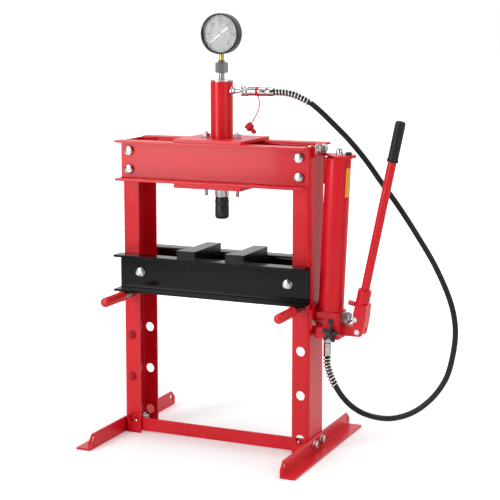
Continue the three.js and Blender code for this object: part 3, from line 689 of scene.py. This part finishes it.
def add_text(bm, words, place, size):
    curve = bpy.data.curves.new("words", "FONT")
    curve.body = words
    curve.size = size / 1000
    curve.align_x = "CENTER"
    curve.align_y = "CENTER"
    curve.extrude = 0.0001
    holder = bpy.data.objects.new("words", curve)
    bpy.context.scene.collection.objects.link(holder)
    bpy.context.view_layer.update()
    mesh = bpy.data.meshes.new_from_object(holder.evaluated_get(bpy.context.evaluated_depsgraph_get()))
    mesh.transform(Matrix.Translation(place) @ Matrix.Rotation(math.pi / 2, 4, "X"))
    bm.from_mesh(mesh)
    bpy.data.objects.remove(holder)
    bpy.data.meshes.remove(mesh)


bm = bmesh.new()
start, sweep = math.radians(-135), math.radians(270)
for i in range(61):
    major, middling = i % 10 == 0, i % 5 == 0
    inner = 37.5 if major else 39.5 if middling else 40.5
    dial_mark(bm, start + sweep * i / 60, inner, 43, 1.8 if major else 0.7)
for i in range(49):
    major = i % 8 == 0
    dial_mark(bm, start + sweep * i / 48, 24.5 if major else 26, 28, 0.6 if major else 0.3)
for i in range(7):
    angle = start + sweep * i / 6
    way = X * math.sin(angle) + Z * math.cos(angle)
    add_text(bm, str(i * 100), dial_face + way * 0.0325, 6.8)
piece("gauge_dial_marks", bm, mark_paint, "frame", smooth=False)
for name, radius in (("gauge_scale_ring", 43.2), ("gauge_inner_ring", 28.1)):
    turned(name, [(radius - 0.25, 0), (radius, 0), (radius, 0.2), (radius - 0.25, 0.2)], middle + Y * -0.0053,
           Y, mark_paint, "frame", sides=96, hollow=True)

needle_angle = math.radians(232)  # clockwise from straight up
way = X * math.sin(needle_angle) + Z * math.cos(needle_angle)
across = Y.cross(way)
bm = bmesh.new()
add_prism(bm, [(-24, -2.9), (-10, -2.2), (0, -3.0), (36, -1.1), (36, 1.1), (0, 3.0), (-10, 2.2), (-24, 2.9)],
          middle + Y * -0.0066, way, across, 0.8)
piece("gauge_needle_looks", bm, pointer_paint, "needle", replaces=("gauge_needle",), slot="dial_white",
      bevel=0.15)
turned("needle_hub", [(0, 0), (2.4, 0), (3.4, 0.8), (3.4, 2.2), (0, 2.2)], middle + Y * -0.0086, Y,
       turned_steel, "needle", sides=32)

# ------------------------------------------------------------------ hose coupler

turned("coupler_nut_looks", [
    (5.4, 0), (9.6, 0), (10.6, 0.8), (12.2, 2.2), (12.2, 9), (11.3, 9.8), (11.3, 11.4), (12.2, 12.2),
    (12.2, 18), (10.8, 20.4), (5.4, 20.4),
], at(51.4, 0, port_height), X, fitting_steel, "nut", sides=144, flutes=36, depth=0.55, hollow=True,
   replaces=("coupler_nut",), slot="zinc")
turned("hose_fitting_looks", [
    (0, 0), (10.4, 0), (11, 0.6), (11, 8.4), (10.2, 9), (10.2, 10.2), (11, 10.8), (11, 20.2), (8.5, 20.4),
    (8.5, 26.9), (10.4, 27.1), (11, 27.8), (11, 45), (10.7, 45.6), (10.7, 46.6), (11, 47.2), (11, 62),
    (9.6, 65.2), (0, 65.3),
], at(72.4, 0, port_height), X, fitting_steel, "frame", replaces=("hose_fitting",), slot="zinc", sides=56)
turned("cap_ring", [(8.8, 0), (10.7, 0), (11.3, 0.7), (11.3, 5.3), (10.7, 6), (8.8, 6)],
       at(93, 0, port_height), X, vinyl, "frame", hollow=True, slot="red_plastic", replaces=("dust_cap",))
strap = smooth_route([at(*p) for p in (
    (96.2, 0, 860.8), (99.4, 0, 850), (100.5, 0, 840), (98, 0, 828), (92.5, 0, 816), (86, 0, 805),
    (79.5, 0, 793), (76, 0, 788),
)], 6)
wire("cap_strap", strap, 2.8, vinyl, "frame")
turned("dust_cap_looks", [
    (0, 0), (8, 0), (9.6, 0.8), (10.2, 2.4), (10.2, 5), (9.2, 6), (9.2, 8), (10.2, 9), (10.2, 13.6),
    (9.2, 15.2), (6.2, 16), (5.4, 17.4), (5.4, 27.5), (4.6, 29.2), (0, 29.5),
], at(68, 0, 791), (1, 0, -1), vinyl, "frame", sides=40, slot="red_plastic")
turned("pump_ferrule_looks", [
    (0, 0), (8.8, 0), (9.6, 0.8), (9.6, 24), (9.0, 24.6), (9.0, 26), (9.6, 26.6), (9.6, 30), (8, 31.5),
    (8, 34), (9.6, 35), (9.6, 45.6), (6, 46.4), (6, 60), (0, 60),
], at(lower_end_x, 0, 240), Z, fitting_steel, "frame", replaces=("pump_hose_ferrule",), slot="zinc")

# ------------------------------------------------------------------ arbor plates

width, low, high, front, back, step = 50, 463.9, 486.9, -102, 48, 11
for side, left in (("left", -75), ("right", 54)):
    bm = bmesh.new()
    corner = 7 if side == "right" else 2
    plan = [(0, front + 1), (1, front), (width - 1, front), (width, front + 1), (width, back - corner)]
    plan += [(width - corner * (1 - math.cos(a)), back - corner * (1 - math.sin(a)))
             for a in (math.radians(15 * i) for i in range(1, 7))]
    plan += [(step, back), (step, front + 44), (0, front + 18)]
    add_prism(bm, plan, at(left, 0, low), X, Y, high - low)
    piece(f"arbor_plate_{side}_looks", bm, cast, f"arbor_{side}", replaces=(f"arbor_plate_{side}",),
          slot="cast_iron", bevel=1.0)

# ------------------------------------------------------------------ pump

tank_radius = 0.0309
strip_radius = 0.03072
knob_x, knob_z = 303, 304.5
foot, head = at(287.5, 0, 352), at(304, 0, 720)
lean = (head - foot).normalized()
for name, plane in (("reservoir_weld_low", 353.6), ("reservoir_weld_high", 718.6)):
    centre = foot + lean * (plane / 1000 - foot.z) / lean.z
    bead = []
    for k in range(96):
        angle = 2 * math.pi * k / 96
        ripple = Z * 0.0002 * math.sin(k * 2.4)
        bead.append(centre + (X * math.cos(angle) + Y * math.sin(angle)) * tank_radius + ripple)
    wire(name, bead, 3.4, red, "frame", cyclic=True)

turned("vent_cap_looks", [
    (0, -14), (5.8, -14), (5.8, 0), (8.6, 0), (8.6, 1.8), (7.7, 3), (7.7, 8), (7.3, 11), (6.2, 14),
    (4.2, 16.6), (2, 17.7), (0, 18),
], at(306, 0, 726.6), Z, zinc, "vent", replaces=("vent_cap",), slot="zinc")
turned("filler_plug", [(0, 0), (7.4, 0), (8, 0.6), (8, 5.6), (7, 7.2), (0, 7.2)], at(329, 0, 726.4), Z,
       knob_plastic, "frame", sides=60, flutes=20, depth=0.6, slot="black_plastic")
turned("relief_plug", [(0, 0), (6.2, 0), (6.8, 0.5), (6.8, 2), (6.0, 3), (3.2, 3.2), (3.0, 2.0), (0, 2.0)],
       at(299, -31, 331), -Y, knob_plastic, "frame", sides=36, slot="black_plastic")

bm = bmesh.new()
add_hexagon(bm, at(318.3, 0, 337), X, 28, 16.4, turn=0.1, both=True)
add_turned(bm, [(8.4, 16), (12.5, 16), (12.5, 20), (11.6, 21.2), (8.4, 21.2)], at(318.3, 0, 337), X, 40,
           hollow=True)
piece("pump_gland_looks", bm, fitting_steel, "frame", replaces=("pump_gland",), slot="zinc")

bm = bmesh.new()
knob_outline = []
for i in range(100):
    angle = 2 * math.pi * i / 100
    radius = 15.2 + 6.8 * math.cos(5 * (angle - math.radians(10)))
    knob_outline.append((radius * math.cos(angle), radius * math.sin(angle)))
knob_at = at(knob_x, 0, knob_z)
levels = ((-41, 0.86), (-42.4, 0.96), (-44, 1.0), (-50, 1.0), (-52.2, 0.93), (-53, 0.80))
loft(bm, [[knob_at + Y * y / 1000 + (X * a + Z * b) * share / 1000 for a, b in knob_outline]
          for y, share in levels])
add_turned(bm, [(0, 0), (8, 0), (8, 9), (0, 9)], at(knob_x, -42, knob_z), Y, 32)
add_turned(bm, [(0, 0), (4, 0), (4, 14), (0, 14)], at(knob_x, -34, knob_z), Y, 20)
add_turned(bm, [(0, 0), (6.5, 0), (6.5, 0.9), (5.4, 1.5), (0, 1.5)], at(knob_x, -52.9, knob_z), -Y, 32)
piece("release_knob_looks", bm, knob_plastic, "knob", replaces=("release_knob",), slot="black_plastic")

for name, body, x, z in (("fulcrum_pin", "frame", 360, 307.2), ("drive_pin", "pump_lever", 354, 337)):
    bm = bmesh.new()
    add_turned(bm, [(0, -21), (4.6, -21), (5.4, -20.2), (5.4, 20.2), (4.6, 21), (0, 21)], at(x, 0, z), Y, 32)
    for way in (-1, 1):
        add_turned(bm, [(5.4, 0), (6.3, 0), (6.5, 0.2), (6.5, 1), (6.3, 1.2), (5.4, 1.2)],
                   at(x, way * 18.6, z), (0, way, 0), 32, hollow=True)
    piece(f"{name}_looks", bm, zinc, body, replaces=(name,), slot="zinc")

# a blank coloured strip on the reservoir's outer side, with nothing written on it
bm = bmesh.new()
rows = []
for k in range(15):
    height = 628 + 69 * k / 14
    centre = foot + lean * (height / 1000 - foot.z) / lean.z
    rows.append([centre + (X * math.cos(a) + Y * math.sin(a)) * strip_radius for a in
                 (math.radians(-30 + 62 * i / 12) for i in range(13))])
grid = [[bm.verts.new(p) for p in row] for row in rows]
for low_row, high_row in zip(grid, grid[1:]):
    for i in range(12):
        bm.faces.new((low_row[i], low_row[i + 1], high_row[i + 1], high_row[i]))
label = piece("reservoir_strip", bm, label_paint, "frame")
thick = label.modifiers.new("thick", "SOLIDIFY")
thick.thickness = 0.0002

# ------------------------------------------------------------------ pump handle

handle_way = Vector((0.2063, 0, 1)).normalized()
handle_foot = at(372.6, 0, 403.5)


def on_handle(z):
    return handle_foot + handle_way * (z / 1000 - handle_foot.z) / handle_way.z


screw_way = Vector((-handle_way.z, 0, handle_way.x))
bm = bmesh.new()
add_turned(bm, [(0, 10.8), (3.9, 10.8), (3.9, 17), (6, 17), (6, 32), (5.2, 33.6), (3, 34.2), (0, 34.2)],
           on_handle(368), screw_way, 32)
piece("lock_screw_looks", bm, vinyl, "pump_lever", replaces=("lock_screw",), slot="red_paint")
grip_profile = [(10.7, 0), (13.4, 0), (14.0, 0.8), (14.0, 4.2), (13.2, 5.6)]
for k in range(13):
    z = 8 + k * 6
    grip_profile += [(12.5, z), (12.5, z + 4.2), (12.05, z + 4.6), (12.05, z + 5.6)]
grip_profile += [(12.4, 88), (12.2, 92), (10.8, 95.6), (8, 97.4), (0, 98), (0, 84), (10.7, 84)]
turned("handle_grip_looks", grip_profile, on_handle(715), handle_way, grip_rubber, "handle", sides=60,
       replaces=("handle_grip",), slot="hose_rubber")

# ------------------------------------------------------------------ brace screws

for side, sign in sides:
    turned(f"brace_screw_{side}", [(0, 0), (5.6, 0), (5.6, 1), (4.6, 2.6), (2.2, 3.4), (0, 3.5)],
           at(sign * 222, -41.6, 27), -Y, zinc, "frame", sides=32, slot="zinc")
